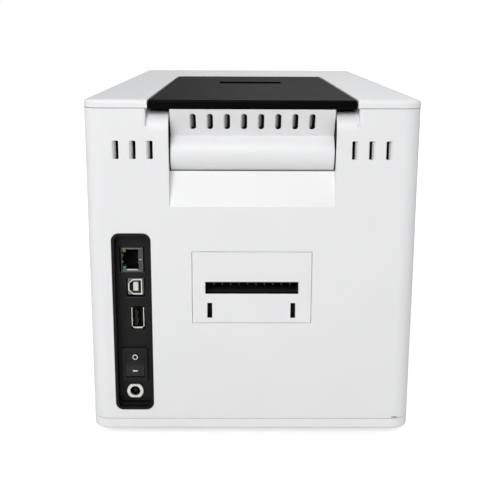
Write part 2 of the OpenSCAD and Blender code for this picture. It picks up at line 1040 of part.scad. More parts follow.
module spool(y, roll_r) {
  x_rod(journal_r, 2 * (arm_in + arm_t + 4), y, spool_z);
  x_rod(roll_r, 59, y, spool_z);
  both_sides()
    x_rod(8.5, 1.6, y, spool_z, arm_in - 1.4);
}

module supply_spool() {
  color(BLACK) spool(supply_y, supply_r);
}

module take_up_spool() {
  color(BLACK) spool(take_up_y, take_up_r);
}

// Path of the ribbon film: from roll to roll round both guide bars and under the print line
function film_path(off) =
  let (low = bar_r + 0.3 + off, cut = 0.45 * low)
  [[take_up_y + take_up_r + 0.4 - off, spool_z], [front_bar_y - low, bar_z], [front_bar_y - low, bar_z - cut],
   [front_bar_y - cut, bar_z - low], [print_y - 5, head_z - 0.3 - off], [print_y + 5, head_z - 0.3 - off],
   [rear_bar_y + cut, bar_z - low], [rear_bar_y + low, bar_z - cut], [rear_bar_y + low, bar_z],
   [supply_y - supply_r - 0.4 + off, spool_z]];

module ribbon_film() {
  t = 0.25;
  inner = film_path(0);
  outer = film_path(t);
  color(BLACK)
    along_x(58)
      polygon(concat(inner, [for (i = [len(outer) - 1:-1:0]) outer[i]]));
}

// ---- lid ----

// Plate with a finger recess: upright wall towards the operator, floor rising to the rear
module lid_plate() {
  len = rear_y - lid_front_y;
  color(BLACK)
    difference() {
      translate([0, (rear_y + lid_front_y) / 2, lid_z])
        soft_slab(lid_w, len, lid_t, 1.5, 1.2);
      // hollow underside, left full under the recess
      difference() {
        translate([-lid_w / 2 + 2.5, lid_front_y + 2.5, lid_z - 1])
          cube([lid_w - 5, len - 5, 4]);
        translate([-recess_w / 2 - 3, recess_y - 3, lid_z - 2])
          cube([recess_w + 6, recess_len + 6, 6]);
      }
      along_x(recess_w)
        polygon([[recess_y, top_z + 1], [recess_y, top_z - recess_t], [recess_y + 6, top_z - recess_t],
                 [recess_y + recess_len, top_z], [recess_y + recess_len, top_z + 1]]);
    }
}

// Slanted slot through the skirt's upper panel
module skirt_slot(x) {
  translate([x, crease_y, crease_z])
    rotate([panel_a, 0, 0])
      translate([0, 10.3, 0])
        intersection() {
          translate([0, 0, -1])
            linear_extrude(height = panel_t + 3)
              rounded_rect(3.8, 11.2, 1.89);
          rotate([90, 0, 0])
            linear_extrude(height = 14, center = true)
              polygon([[1.95, -1], [1.95, 0.2], [-0.1, panel_t], [-0.1, panel_t + 3],
                       [-1.95, panel_t + 3], [-1.95, -1]]);
        }
}

module lid_skirt() {
  color(WHITE)
    difference() {
      union() {
        // panel, top flange and barrel
        along_x(skirt_w)
          difference() {
            union() {
              polygon([[crease_y, crease_z], [rear_y, lid_z], [rear_y - 24, lid_z], [rear_y - 24, lid_z - 2],
                       [rear_y - panel_t - 1, lid_z - 2], [crease_y - panel_t, crease_z]]);
              translate([hinge_y, hinge_z])
                circle(r = barrel_r);
            }
            translate([hinge_y, hinge_z])
              circle(r = barrel_r - 2.2);
          }
        // ends of the barrel, with the bearing bosses
        both_sides()
          x_rod(barrel_r, 3, hinge_y, hinge_z, skirt_w / 2 - 1.5);
        both_sides()
          x_rod(6.5, 6, hinge_y, hinge_z, skirt_w / 2 - 3);
        both_sides()
          along_x(2, skirt_w / 2 - 1)
            polygon([[crease_y, crease_z], [rear_y - 1, lid_z - 1],
                     [rear_y - 24, lid_z - 1], [hinge_y - 8, hinge_z + 8]]);
      }
      both_sides()
        x_rod(pin_r + slack, 16, hinge_y, hinge_z, skirt_w / 2 - 3);
      for (k = [0:skirt_slots - 1])
        skirt_slot((k - (skirt_slots - 1) / 2) * 10.48);
    }
}

// Ribbed inner frame under the plate, with arms down to the barrel
module lid_frame() {
  x1 = 57;
  y0 = lid_front_y + 5;
  y1 = rear_y - 26;
  wide_y = hinge_y - 29;
  color(DARK)
    difference() {
      union() {
        difference() {
          union() {
            block([-x1, y0, lid_frame_z], [x1, wide_y, lid_z]);
            block([-skirt_w / 2, wide_y - 1, lid_frame_z], [skirt_w / 2, y1, lid_z]);
          }
          for (p = [[y0 + 3, -22], [-19, -8], [-5, 31], [34, 82], [85, 130], [133, wide_y - 3]])
            block([-x1 + 3, p[0], lid_frame_z - 1], [x1 - 3, p[1], lid_z - 1.6]);
          block([-skirt_w / 2 + 3, wide_y, lid_frame_z - 1], [skirt_w / 2 - 3, y1 - 3, lid_z - 1.6]);
        }
        both_sides()
          along_x(5, 42)
            difference() {
              polygon([[150, lid_z - 3], [150, lid_frame_z], [hinge_y - 12, hinge_z + 1], [hinge_y, hinge_z],
                       [hinge_y - 2, hinge_z + 16], [y1, lid_z - 3]]);
              translate([hinge_y, hinge_z])
                circle(r = barrel_r);
            }
      }
      // room for the skirt's top flange and end cheeks
      block([-skirt_w / 2 - 0.2, y1 - 0.4, lid_z - 2.2], [skirt_w / 2 + 0.2, y1 + 10, lid_z + 1]);
    }
}

// Aluminium carrier and cooling block of the print head, hung from the lid frame
module head_carrier() {
  color(ALU) {
    both_sides()
      block([26, -4, 146], [29, 18, lid_frame_z + 0.01]);
    difference() {
      block([-29, -5, 112], [29, 14, 150]);
      for (z = [118:6:142])
        block([-30, 2, z], [30, 15, z + 3]);
    }
    block([-29, -4, lid_frame_z - 2], [29, 18, lid_frame_z]);
  }
}

module print_head() {
  color(IVORY) {
    along_x(58)
      polygon([[-5, 112], [14, 112], [14, 108], [print_y + 4, head_z], [print_y - 4, head_z], [-5, 108]]);
    // flat cable sockets behind the head
    both_sides()
      block([8, 14, 113], [22, 17, 117]);
  }
}

// ---- operator's side ----

module card_hopper() {
  x1 = hopper_in + hopper_t;
  color(DARK)
    difference() {
      block([-x1, hopper_front, hopper_floor - 2], [x1, hopper_back + hopper_t, hopper_top]);
      block([-hopper_in, hopper_front - 1, hopper_floor], [hopper_in, hopper_back, hopper_top + 1]);
      // window for the pick roller, gate for one card, and guide slots of the weight
      block([-17, pick_y - 8.6, hopper_floor - 3], [17, pick_y + 8.6, hopper_floor + 1]);
      block([-hopper_in, hopper_back - 1, hopper_floor], [hopper_in, hopper_back + 3, hopper_floor + 1.1]);
      block([-x1 - 1, -152, tongue_z - 0.3], [x1 + 1, -147, hopper_top - 8]);
    }
}

// Weight that keeps the stack down. Its tongues rest on the ends of the side
// slots, so that in an empty hopper it stays clear of the pick roller.
module card_weight() {
  color(STEEL) {
    along_x(2 * hopper_in - 1)
      polygon([[-190, hopper_floor + 3.5], [-187, weight_z], [-113, weight_z], [-110, hopper_floor + 3.5],
               [-110, hopper_floor + 8], [-190, hopper_floor + 8]]);
    block([-hopper_in - 5, -151.6, tongue_z], [hopper_in + 5, -147.4, tongue_z + 5]);
  }
}

module hopper_door() {
  z0 = door_z0;
  color(BLACK) {
    difference() {
      block([-door_w / 2, front_y, z0], [door_w / 2, front_y + wall, door_z1]);
      // finger pull at the upper edge
      x_rod(7, 26, front_y - 3.5, door_z1 - 1);
    }
    // hinge knuckles at the lower edge
    both_sides()
      x_rod(2, 8, front_y + wall, z0 + 2, 30);
  }
}

module output_bin() {
  x1 = hopper_in + hopper_t;
  color(DARK)
    difference() {
      block([-x1, front_y + wall, bin_floor - hopper_t], [x1, hopper_back, bin_top + 1]);
      along_x(2 * hopper_in)
        polygon([[front_y - 1, bin_floor + 6], [hopper_back - hopper_t, bin_floor],
                 [hopper_back - hopper_t, bin_top - 1], [front_y - 1, bin_top - 1]]);
      // slot where the chute ends
      block([-hopper_in, hopper_back - 5, bin_top - 9], [hopper_in, hopper_back + 1, bin_top - 1]);
    }
}

module display_window() {
  color(BLACK)
    along_y(front_y + 0.3, front_y + wall)
      translate([71, 164])
        rounded_rect(36, 26, 1.8);
}

module round_button(x) {
  color(BLACK)
    translate([x, 0, 136])
      rotate([-90, 0, 0])
        translate([0, 0, front_y - 1])
          rotate_extrude()
            polygon([[0, 0], [4.4, 0], [5, 0.6], [5, 4], [6.2, 4], [6.2, 5.2], [0, 5.2]]);
}

module menu_button() {
  round_button(62);
}

module feed_button() {
  round_button(80);
}

// ---- the pieces ----

rubber_feet();
base_tray();
body_shell();
top_cover();
front_fascia();
slot_plate();
slot_guide();
io_panel();
rj45_jack();
usb_b_socket();
usb_a_socket();
switch_bezel();
power_rocker();
dc_jack();
main_board();
left_side_plate();
right_side_plate();
cross_rails();
shaft_bushes();
card_guides();
diverter_flap();
hinge_pins();
case_screws();
lid_plate();
lid_skirt();
lid_frame();
head_carrier();
print_head();
cassette_frame();
supply_spool();
take_up_spool();
ribbon_film();
pick_roller();
front_feed_roller();
platen_roller();
rear_feed_roller();
exit_roller();
pick_gear();
front_feed_gear();
platen_gear();
rear_feed_gear();
exit_gear();
idler_gear_1();
idler_gear_2();
idler_gear_3();
idler_gear_4();
motor_pinion();
drive_motor();
front_pinch_roller();
rear_pinch_roller();
exit_pinch_roller();
card_hopper();
card_weight();
hopper_door();
output_bin();
display_window();
menu_button();
feed_button();
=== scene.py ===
import math

import bmesh
import bpy
from mathutils import Matrix, Vector


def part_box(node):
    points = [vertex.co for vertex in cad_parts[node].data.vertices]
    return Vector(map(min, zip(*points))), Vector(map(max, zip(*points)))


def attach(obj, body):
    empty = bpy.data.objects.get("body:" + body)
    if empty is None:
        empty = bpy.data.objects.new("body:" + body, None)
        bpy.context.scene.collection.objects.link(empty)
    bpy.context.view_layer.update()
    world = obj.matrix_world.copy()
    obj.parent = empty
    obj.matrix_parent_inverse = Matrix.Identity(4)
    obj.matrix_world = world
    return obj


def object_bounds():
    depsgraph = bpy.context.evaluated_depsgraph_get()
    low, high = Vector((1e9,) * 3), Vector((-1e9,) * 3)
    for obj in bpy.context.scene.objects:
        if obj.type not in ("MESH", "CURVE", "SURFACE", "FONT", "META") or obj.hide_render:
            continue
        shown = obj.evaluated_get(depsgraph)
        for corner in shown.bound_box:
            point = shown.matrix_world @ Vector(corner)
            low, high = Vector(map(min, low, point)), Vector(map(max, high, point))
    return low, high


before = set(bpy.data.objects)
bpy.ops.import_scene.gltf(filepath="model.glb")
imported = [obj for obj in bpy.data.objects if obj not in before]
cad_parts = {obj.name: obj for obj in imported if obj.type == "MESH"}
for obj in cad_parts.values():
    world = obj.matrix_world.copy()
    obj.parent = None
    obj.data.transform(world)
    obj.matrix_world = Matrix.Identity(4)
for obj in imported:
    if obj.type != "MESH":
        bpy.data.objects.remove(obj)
cad_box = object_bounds()

MM = 0.001

# ---- places taken from the frame, in millimetres ----

REAR_Y = cad_box[1][1] / MM
LID_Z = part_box("lid_skirt")[1][2] / MM
HEAD_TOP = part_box("head_carrier")[1][2] / MM
NETWORK_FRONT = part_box("rj45_jack")[1][1] / MM
SQUARE_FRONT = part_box("usb_b_socket")[1][1] / MM
UPRIGHT_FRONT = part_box("usb_a_socket")[1][1] / MM
BOARD_THICKNESS = 1.6
BOARD_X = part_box("main_board")[0][0] / MM + BOARD_THICKNESS

# ---- sizes that match the CAD, in millimetres and degrees ----

# hinge: axis, barrel, and where the skirt's panel leaves the barrel
HINGE_Y, HINGE_Z = 189, 186
BARREL_R = 12.5
CREASE_ANGLE = 60.9
# slots of the skirt: middles, place up the panel, end radius and half of the straight part
SKIRT_SLOT_X = [(k - 3.5) * 10.48 for k in range(8)]
SKIRT_SLOT_UP = 10.3
SKIRT_SLOT_R = 1.89
SKIRT_SLOT_HALF = 3.71
# air slots of the casing on each side, and the card slot with the two small slots under it
AIR_SLOT_X = (63.2, 73.7, 84.2)
CARD_SLOT_WIDTH = 59.3
CARD_SLOT_BOTTOM = 97.4
CARD_SLOT_RIBS = 10
SMALL_SLOT_X = (26.85, -26.3)
# floor of the connector recess
RECESS_Y = 196.02
# rocker: pivot, tilt at rest, angle between its two halves and their face; marks on it
ROCKER_PIVOT = Vector((76.15, 193, 46.95))
ROCKER_TILT = 7
ROCKER_FLARE = 6.4
ROCKER_FACE = 5.0
MARK_RISE = 4.6
MARK_DEPTH = 0.2

# ---- camera, as fitted to the housing's edges in the photograph ----

CAMERA_AT = Vector((6.76, 758.09, 261.34)) * MM
CAMERA_PITCH = 0.237143
CAMERA_YAW = -0.007588
CAMERA_ROLL = 0.003864
FOCAL_PIXELS = 906.21
FRAME_PIXELS = 496
SENSOR_MM = 36.0


def make_camera():
    forward = Vector((math.sin(CAMERA_YAW) * math.cos(CAMERA_PITCH),
                      -math.cos(CAMERA_YAW) * math.cos(CAMERA_PITCH),
                      -math.sin(CAMERA_PITCH)))
    right = forward.cross(Vector((0, 0, 1))).normalized()
    up = right.cross(forward)
    c, s = math.cos(CAMERA_ROLL), math.sin(CAMERA_ROLL)
    right, up = right * c + up * s, up * c - right * s
    data = bpy.data.cameras.new("camera")
    data.sensor_width = SENSOR_MM
    data.sensor_fit = "HORIZONTAL"
    data.lens = FOCAL_PIXELS / FRAME_PIXELS * SENSOR_MM
    data.clip_start = 0.01
    data.clip_end = 50
    cam = bpy.data.objects.new("camera", data)
    bpy.context.scene.collection.objects.link(cam)
    turn = Matrix((right, up, -forward)).transposed()
    cam.matrix_world = Matrix.Translation(CAMERA_AT) @ turn.to_4x4()
    bpy.context.scene.camera = cam


# ---- studio ----

HORIZON_LIGHT = 0.09
ZENITH_LIGHT = 0.54
SKY_BAND = (0.15, 0.85)
FLOOR_SIZE = 12
FLOOR_ALBEDO = 0.62
FLOOR_GLOW = 0.62
GLOW_RADII = (0.35, 0.9)


def map_range(tree, value, low, high, start, end):
    """A value between start and end, brought to low and high."""
    node = tree.nodes.new("ShaderNodeMapRange")
    for key, number in (("From Min", start), ("From Max", end), ("To Min", low), ("To Max", high)):
        node.inputs[key].default_value = number
    tree.links.new(value, node.inputs["Value"])
    return node.outputs["Result"]


def maths(tree, operation, first, second):
    """A Math node on an output and on a number or a second output."""
    node = tree.nodes.new("ShaderNodeMath")
    node.operation = operation
    tree.links.new(first, node.inputs[0])
    if isinstance(second, float):
        node.inputs[1].default_value = second
    elif second:
        tree.links.new(second, node.inputs[1])
    return node.outputs[0]


def make_world():
    world = bpy.data.worlds.new("studio")
    bpy.context.scene.world = world
    world.use_nodes = True
    tree = world.node_tree
    nodes, links = tree.nodes, tree.links
    nodes.clear()
    out = nodes.new("ShaderNodeOutputWorld")
    seen = nodes.new("ShaderNodeBackground")
    seen.inputs["Color"].default_value = (1, 1, 1, 1)
    seen.inputs["Strength"].default_value = 1.0
    lit = nodes.new("ShaderNodeBackground")
    lit.inputs["Color"].default_value = (0.97, 0.985, 1, 1)
    # dim at the horizon, brighter overhead
    split = nodes.new("ShaderNodeSeparateXYZ")
    links.new(nodes.new("ShaderNodeTexCoord").outputs["Generated"], split.inputs[0])
    rise = map_range(tree, split.outputs["Z"], HORIZON_LIGHT, ZENITH_LIGHT, *SKY_BAND)
    links.new(rise, lit.inputs["Strength"])
    path = nodes.new("ShaderNodeLightPath").outputs
    either = maths(tree, "MAXIMUM", path["Is Camera Ray"], path["Is Transmission Ray"])
    mix = nodes.new("ShaderNodeMixShader")
    links.new(either, mix.inputs[0])
    links.new(lit.outputs[0], mix.inputs[1])
    links.new(seen.outputs[0], mix.inputs[2])
    links.new(mix.outputs[0], out.inputs["Surface"])


def area_light(name, at, aim, size, power):
    data = bpy.data.lights.new(name, "AREA")
    data.shape = "RECTANGLE"
    data.size, data.size_y = size
    data.energy = power
    light = bpy.data.objects.new(name, data)
    bpy.context.scene.collection.objects.link(light)
    light.location = at
    light.rotation_euler = (Vector(aim) - Vector(at)).to_track_quat("-Z", "Y").to_euler()


def make_lights():
    # place, aim, size in metres and watts
    area_light("key", (0.55, 1.95, 1.15), (0, 0.2, 0.12), (1.6, 1.2), 34)
    area_light("left_side", (2.0, -0.3, 1.2), (0, 0, 0.1), (1.2, 1.2), 7.5)
    area_light("right_side", (-2.0, -0.1, 1.2), (0, 0, 0.1), (1.2, 1.2), 11)
    area_light("operator_side", (-0.5, -1.8, 1.7), (0, 0, 0.1), (1.4, 1.2), 13)


def make_floor():
    bpy.ops.mesh.primitive_plane_add(size=FLOOR_SIZE, location=(0, 0, 0))
    floor = bpy.context.object
    floor.name = "floor"
    mat = bpy.data.materials.new("floor_white")
    mat.use_nodes = True
    tree = mat.node_tree
    nodes, links = tree.nodes, tree.links
    nodes.clear()
    out = nodes.new("ShaderNodeOutputMaterial")
    diffuse = nodes.new("ShaderNodeBsdfDiffuse")
    diffuse.inputs["Color"].default_value = (FLOOR_ALBEDO, FLOOR_ALBEDO, FLOOR_ALBEDO, 1)
    glow = nodes.new("ShaderNodeEmission")
    glow.inputs["Color"].default_value = (1, 1, 1, 1)
    # the glow grows away from the object, so only its contact shadow shows
    away = nodes.new("ShaderNodeVectorMath")
    away.operation = "LENGTH"
    links.new(nodes.new("ShaderNodeTexCoord").outputs["Object"], away.inputs[0])
    grow = map_range(tree, away.outputs["Value"], FLOOR_GLOW, 1.0, *GLOW_RADII)
    path = nodes.new("ShaderNodeLightPath").outputs
    links.new(maths(tree, "MULTIPLY", path["Is Camera Ray"], grow), glow.inputs["Strength"])
    both = nodes.new("ShaderNodeAddShader")
    links.new(diffuse.outputs[0], both.inputs[0])
    links.new(glow.outputs[0], both.inputs[1])
    links.new(both.outputs[0], out.inputs["Surface"])
    floor.data.materials.append(mat)


# ---- materials ----


class Shader:
    """A node material whose detail follows the object's own coordinates. Its lengths are metres."""

    def __init__(self, name):
        self.mat = bpy.data.materials.new(name)
        self.mat.use_nodes = True
        self.tree = self.mat.node_tree
        self.nodes, self.links = self.tree.nodes, self.tree.links
        self.base = self.nodes["Principled BSDF"]
        self.place = self.nodes.new("ShaderNodeTexCoord").outputs["Object"]

    def noise(self, scale, detail=3.0, stretch=None):
        place = self.place
        if stretch:
            mapping = self.nodes.new("ShaderNodeMapping")
            mapping.inputs["Scale"].default_value = stretch
            self.links.new(place, mapping.inputs["Vector"])
            place = mapping.outputs["Vector"]
        tex = self.nodes.new("ShaderNodeTexNoise")
        tex.inputs["Scale"].default_value = scale
        tex.inputs["Detail"].default_value = detail
        self.links.new(place, tex.inputs["Vector"])
        return tex.outputs["Fac"]

    def ranged(self, value, low, high, start=0.3, end=0.7):
        return map_range(self.tree, value, low, high, start, end)

    def blend(self, value, dark, light):
        """Mix of two colours, each an RGB triple or another node's output."""
        mix = self.nodes.new("ShaderNodeMix")
        mix.data_type = "RGBA"
        self.links.new(value, mix.inputs["Factor"])
        for socket, colour in zip([i for i in mix.inputs if i.type == "RGBA"], (dark, light)):
            if isinstance(colour, tuple):
                socket.default_value = (*colour, 1)
            else:
                self.links.new(colour, socket)
        return next(o for o in mix.outputs if o.type == "RGBA")

    def colour(self, dark, light, scale=30.0):
        tint = self.blend(self.ranged(self.noise(scale), 0, 1), dark, light)
        self.links.new(tint, self.base.inputs["Base Color"])

    def roughness(self, low, high, scale=60.0, stretch=None):
        rough = self.ranged(self.noise(scale, 2.0, stretch), low, high)
        self.links.new(rough, self.base.inputs["Roughness"])

    def bump(self, scale, depth, strength=0.5, stretch=None, edge=0.0):
        node = self.nodes.new("ShaderNodeBump")
        if edge:
            # light catches a narrow rounding along every edge
            rounding = self.nodes.new("ShaderNodeBevel")
            rounding.samples = 6
            rounding.inputs["Radius"].default_value = edge
            self.links.new(rounding.outputs["Normal"], node.inputs["Normal"])
        node.inputs["Strength"].default_value = strength
        node.inputs["Distance"].default_value = depth
        self.links.new(self.noise(scale, 2.0, stretch), node.inputs["Height"])
        self.links.new(node.outputs["Normal"], self.base.inputs["Normal"])

    def where(self, axis, beyond):
        """1 where the distance from the middle along an axis is past a limit."""
        split = self.nodes.new("ShaderNodeSeparateXYZ")
        self.links.new(self.place, split.inputs[0])
        size = maths(self.tree, "ABSOLUTE", split.outputs[axis], None)
        return maths(self.tree, "GREATER_THAN", size, beyond)

    def set(self, **values):
        for key, number in values.items():
            self.base.inputs[key.replace("_", " ")].default_value = number
        return self


def moulded(name, dark, light, rough=(0.42, 0.5), grain=1800.0, depth=0.00003, strength=0.35,
             ior=1.47, edge=0.0):
    shader = Shader(name)
    shader.colour(dark, light, 18.0)
    shader.roughness(*rough, 70.0)
    shader.bump(grain, depth, strength, edge=edge)
    shader.set(IOR=ior)
    return shader.mat


def metal(name, dark, light, rough=(0.25, 0.4), stretch=(1, 1, 1), grain=900.0, depth=0.00002):
    shader = Shader(name)
    shader.colour(dark, light, 45.0)
    shader.roughness(*rough, 200.0, stretch)
    shader.bump(grain, depth, 0.3, stretch)
    shader.set(Metallic=1.0)
    return shader.mat


def split_look(name, axis, limit, inner, outer, rough, ripple, grain, ior=1.5):
    """One look near the middle plane of an axis and another past a limit on it."""
    shader = Shader(name)
    past = shader.where(axis, limit)
    waves = shader.ranged(shader.noise(ripple), 0, 1)
    tint = shader.blend(past, shader.blend(waves, *inner), shader.blend(waves, *outer))
    shader.links.new(tint, shader.base.inputs["Base Color"])
    shader.links.new(shader.ranged(past, *rough, 0, 1), shader.base.inputs["Roughness"])
    shader.bump(*grain, 0.3)
    return shader.set(IOR=ior)


def socket_material(name, rim_y, rim, deep, rough=(0.35, 0.6), ior=1.45):
    """One look in front of rim_y and another behind it. Several sockets and the connector recess use it for
    painted shade: one part is coloured darker where shade falls.
    """
    return split_look(name, "Y", rim_y, deep, rim, rough[::-1], 400.0, (900.0, 0.00001), ior).mat


def film_material(name):
    """Dye panels one behind the other along the ribbon."""
    shader = Shader(name)
    split = shader.nodes.new("ShaderNodeSeparateXYZ")
    shader.links.new(shader.place, split.inputs[0])
    along = shader.ranged(split.outputs["Y"], 0, 1, -0.05, 0.06)
    ramp = shader.nodes.new("ShaderNodeValToRGB")
    ramp.color_ramp.interpolation = "CONSTANT"
    panels = ((0.0, (0.02, 0.02, 0.025)), (0.30, (0.02, 0.16, 0.30)),
              (0.46, (0.42, 0.30, 0.02)), (0.62, (0.26, 0.012, 0.09)))
    points = ramp.color_ramp.elements
    for i, (place, colour) in enumerate(panels):
        # a new ramp has two points already
        point = points[i] if i < 2 else points.new(place)
        point.position = place
        point.color = (*colour, 1)
    shader.links.new(along, ramp.inputs["Fac"])
    shader.links.new(ramp.outputs["Color"], shader.base.inputs["Base Color"])
    shader.roughness(0.10, 0.18, 90.0)
    shader.bump(260.0, 0.00002, 0.3)
    return shader.mat


def roller_material(name, sleeve):
    """Rubber sleeve up to a distance from the middle, and the steel shaft past it."""
    shader = split_look(name, "X", sleeve, ((0.018, 0.018, 0.019), (0.035, 0.034, 0.034)),
                        ((0.5, 0.5, 0.51), (0.62, 0.62, 0.63)), (0.75, 0.28), 120.0, (700.0, 0.00002))
    shader.links.new(shader.where("X", sleeve), shader.base.inputs["Metallic"])
    return shader.mat


def spool_material(name, film):
    """Wound film between the spool's pale ends."""
    return split_look(name, "X", 0.0297, film, ((0.62, 0.62, 0.61), (0.7, 0.7, 0.69)),
                      (0.16, 0.45), 120.0, (700.0, 0.00002)).mat


LOOKS = {}


def make_materials():
    LOOKS.update(
        white=moulded("white_casing", (0.785, 0.785, 0.79), (0.805, 0.805, 0.81), (0.40, 0.46), edge=0.0005),
        warm=moulded("warm_casing", (0.80, 0.80, 0.785), (0.83, 0.83, 0.815), (0.45, 0.52), edge=0.0005),
        lid=moulded("lid_black", (0.0020, 0.0015, 0.0011), (0.0026, 0.0020, 0.0015), (0.31, 0.33),
                    900.0, 0.000002, 0.2, 1.12, 0.0004),
        black=moulded("black_plastic", (0.0055, 0.0055, 0.006), (0.0085, 0.0085, 0.009), (0.5, 0.58),
                      1600.0, 0.00004, 0.3, 1.35, 0.0004),
        gloss=moulded("switch_black", (0.0045, 0.0045, 0.0055), (0.0075, 0.0075, 0.0085), (0.3, 0.36),
                      ior=1.38),
        dark=moulded("dark_plastic", (0.022, 0.022, 0.024), (0.032, 0.032, 0.034), (0.48, 0.58),
                     1500.0, 0.00005),
        network=socket_material("network_shield", 0.1957, ((0.10, 0.10, 0.10), (0.22, 0.22, 0.22)),
                                ((0.30, 0.30, 0.30), (0.42, 0.42, 0.42))),
        # painted shade: the metal behind rim_y is dark grey, as the socket's inside in shade
        square=socket_material("square_socket_painted_inner_shade", 0.1956, ((0.74, 0.73, 0.67), (0.84, 0.83, 0.78)),
                               ((0.10, 0.10, 0.092), (0.19, 0.19, 0.16))),
        # painted shade: the metal behind rim_y is near black, as the socket's inside in shade
        upright=socket_material("upright_socket_painted_inner_shade", 0.1958, ((0.64, 0.63, 0.56), (0.80, 0.79, 0.72)),
                                ((0.006, 0.006, 0.006), (0.010, 0.010, 0.010))),
        # painted shade: the metal behind rim_y is near black, as the socket's inside in shade
        supply_in=socket_material("supply_socket_painted_inner_shade", 0.1966, ((0.72, 0.71, 0.64), (0.86, 0.85, 0.79)),
                                  ((0.006, 0.006, 0.006), (0.012, 0.012, 0.011))),
        plated=metal("socket_steel", (0.46, 0.46, 0.45), (0.60, 0.60, 0.58), (0.22, 0.34)),
        steel=metal("chassis_steel", (0.48, 0.49, 0.51), (0.60, 0.61, 0.62), (0.32, 0.46), (1, 0.1, 1)),
        alu=metal("aluminium", (0.62, 0.63, 0.65), (0.72, 0.73, 0.74), (0.3, 0.42), (0.1, 1, 1)),
        rubber=moulded("foot_rubber", (0.02, 0.02, 0.02), (0.032, 0.032, 0.031), (0.78, 0.9),
                       900.0, 0.00006),
        board=moulded("circuit_board", (0.008, 0.085, 0.04), (0.014, 0.12, 0.055), (0.25, 0.35),
                      300.0, 0.00004),
        bronze=metal("bronze", (0.50, 0.33, 0.14), (0.62, 0.42, 0.19), (0.3, 0.42)),
        acetal=moulded("gear_plastic", (0.64, 0.61, 0.52), (0.72, 0.69, 0.60), (0.38, 0.46)),
        ceramic=moulded("ceramic_head", (0.52, 0.49, 0.42), (0.60, 0.57, 0.49), (0.18, 0.28)),
        film=film_material("ribbon_film"),
        motor=moulded("motor_black", (0.02, 0.02, 0.022), (0.035, 0.035, 0.037), (0.35, 0.5),
                      700.0, 0.00004),
        glass=moulded("display_glass", (0.008, 0.009, 0.012), (0.012, 0.013, 0.017), (0.06, 0.1),
                      400.0, 0.000004),
        ivory=moulded("tongue_ivory", (0.70, 0.69, 0.62), (0.78, 0.77, 0.70), (0.4, 0.5)),
        gold=metal("contact_gold", (0.70, 0.50, 0.20), (0.84, 0.62, 0.28), (0.18, 0.3)),
        bright=metal("bright_metal", (0.66, 0.66, 0.65), (0.8, 0.8, 0.78), (0.28, 0.4)),
        # painted shade: the recess walls, in front of rim_y, are coloured darker than its floor, as walls in
        # shade
        recess=socket_material("recess_black_painted_wall_shade", 0.1963, ((0.0016, 0.0016, 0.0018), (0.0026, 0.0026, 0.0028)),
                               ((0.0042, 0.0042, 0.0045), (0.0064, 0.0064, 0.0067)), (0.5, 0.55), 1.35),
        # grey of the network socket's side, also used for the painted highlight along the window edges
        side_grey=moulded("socket_side_grey", (0.05, 0.05, 0.052), (0.075, 0.075, 0.077), (0.4, 0.5)),
        # black of the socket linings, and of the thin sheets that paint shade into slots and gaps
        socket_black=moulded("socket_black", (0.002, 0.002, 0.002), (0.004, 0.004, 0.004), (0.6, 0.7),
                             ior=1.2),
        # painted shade: grey that darkens the white skirt slot ramps as if in shadow
        slot_grey=moulded("slot_grey", (0.24, 0.24, 0.24), (0.32, 0.32, 0.31), (0.5, 0.6)),
        # painted highlight: light grey for the comb fins, lighter than the dark guide plastic
        rib_edge=moulded("rib_edge_grey", (0.13, 0.13, 0.135), (0.17, 0.17, 0.175), (0.4, 0.5)),
        tongue_black=moulded("tongue_black", (0.008, 0.008, 0.008), (0.013, 0.013, 0.013), (0.4, 0.5),
                             ior=1.3),
        mark=moulded("switch_mark", (0.74, 0.74, 0.74), (0.8, 0.8, 0.8), (0.4, 0.5)),
        lamp_a=moulded("lamp_yellow", (0.10, 0.105, 0.014), (0.17, 0.175, 0.03), (0.2, 0.3)),
        lamp_b=moulded("lamp_green", (0.03, 0.10, 0.085), (0.06, 0.19, 0.155), (0.2, 0.3)),
        cable=moulded("flat_cable", (0.56, 0.56, 0.54), (0.66, 0.66, 0.64), (0.3, 0.4)),
        lens=moulded("sensor_lens", (0.10, 0.02, 0.02), (0.16, 0.03, 0.03), (0.06, 0.1)),
        chip=moulded("chip_black", (0.015, 0.015, 0.016), (0.026, 0.026, 0.028), (0.5, 0.6),
                     500.0, 0.00003),
        feed=roller_material("feed_roller_rubber", 0.024),
        pick=roller_material("pick_roller_rubber", 0.015),
        platen=roller_material("platen_rubber", 0.0285),
        supply=spool_material("supply_wind", ((0.10, 0.008, 0.03), (0.16, 0.014, 0.05))),
        take_up=spool_material("take_up_wind", ((0.012, 0.010, 0.016), (0.03, 0.022, 0.04))),
    )


